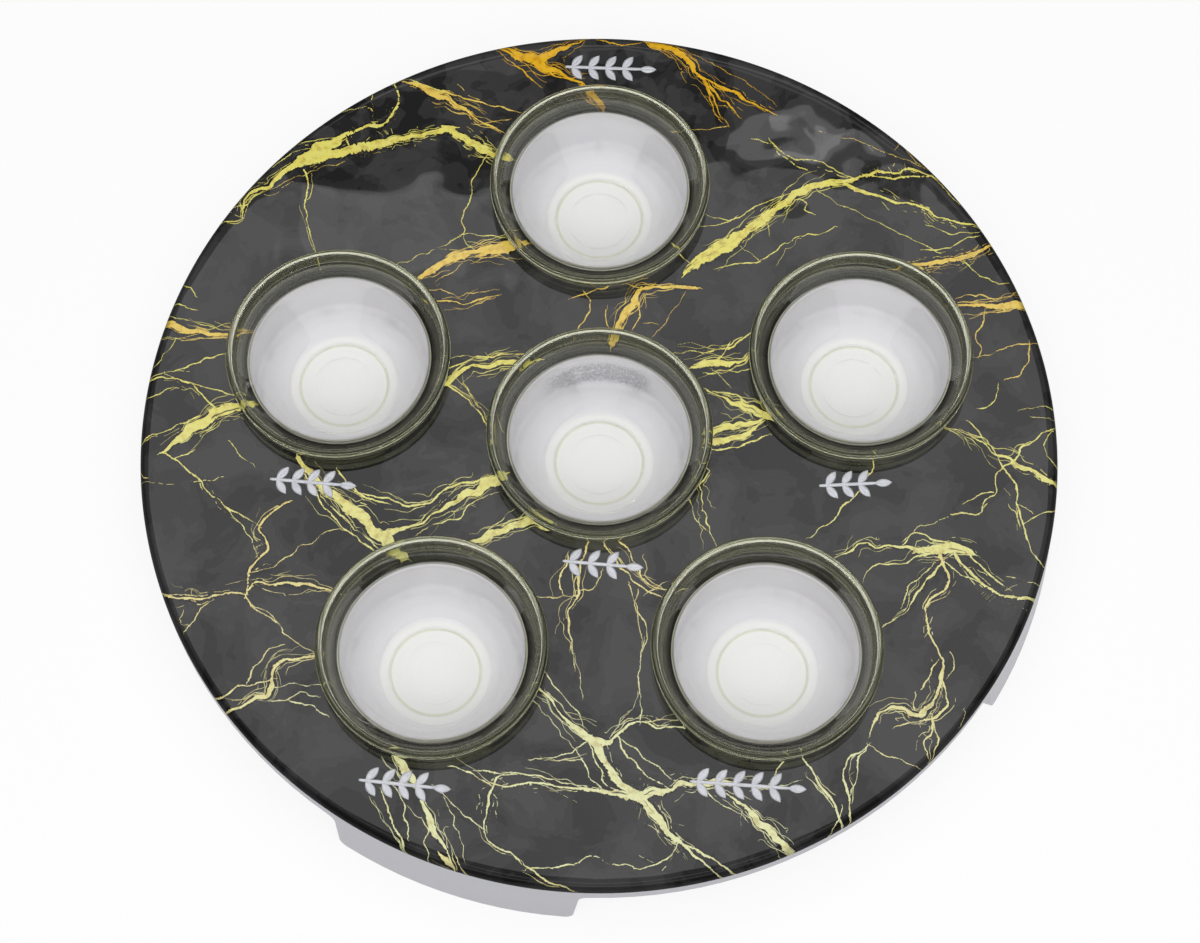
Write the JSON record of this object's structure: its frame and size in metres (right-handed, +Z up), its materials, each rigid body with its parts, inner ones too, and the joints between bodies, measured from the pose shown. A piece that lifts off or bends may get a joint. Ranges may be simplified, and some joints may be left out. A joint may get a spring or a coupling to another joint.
{
  "type": "seder plate",
  "caption": "Round cast plate on skirt feet, faced with black and gold marbled laminate, with loose glass bowls in wells and a silver sprig beside each.",
  "frame": {"origin": "middle of the plate at table height", "axes": "+Z up through the middle bowl, +Y towards the bowl at the back of the ring of five, +X to the right"},
  "size_m": [0.405, 0.405, 0.0475],
  "materials": {
    "cast_aluminium": "sand cast, linished side, turned wells",
    "marble_laminate": "glossy black marble print with gold veins",
    "bowl_glass": "clear pressed glass, faint green tint",
    "silver_trim": "satin silver"
  },
  "bodies": {
    "plate": {"cast_base": "cast_aluminium", "marble_laminate": "marble_laminate", "sprig_centre": "silver_trim", "sprig_back": "silver_trim", "sprig_right": "silver_trim", "sprig_front_right": "silver_trim", "sprig_front_left": "silver_trim", "sprig_left": "silver_trim"},
    "centre_bowl": {"bowl_centre": "bowl_glass"},
    "back_bowl": {"bowl_back": "bowl_glass"},
    "right_bowl": {"bowl_right": "bowl_glass"},
    "front_right_bowl": {"bowl_front_right": "bowl_glass"},
    "front_left_bowl": {"bowl_front_left": "bowl_glass"},
    "left_bowl": {"bowl_left": "bowl_glass"}
  },
  "joints": [
    {"name": "lift_centre_bowl", "type": "slide", "parent": "plate", "child": "centre_bowl", "axis": [0, 0, 1], "range_m": [0, 0.06]},
    {"name": "lift_back_bowl", "type": "slide", "parent": "plate", "child": "back_bowl", "axis": [0, 0, 1], "range_m": [0, 0.06]},
    {"name": "lift_right_bowl", "type": "slide", "parent": "plate", "child": "right_bowl", "axis": [0, 0, 1], "range_m": [0, 0.06]},
    {"name": "lift_front_right_bowl", "type": "slide", "parent": "plate", "child": "front_right_bowl", "axis": [0, 0, 1], "range_m": [0, 0.06]},
    {"name": "lift_front_left_bowl", "type": "slide", "parent": "plate", "child": "front_left_bowl", "axis": [0, 0, 1], "range_m": [0, 0.06]},
    {"name": "lift_left_bowl", "type": "slide", "parent": "plate", "child": "left_bowl", "axis": [0, 0, 1], "range_m": [0, 0.06]}
  ]
}
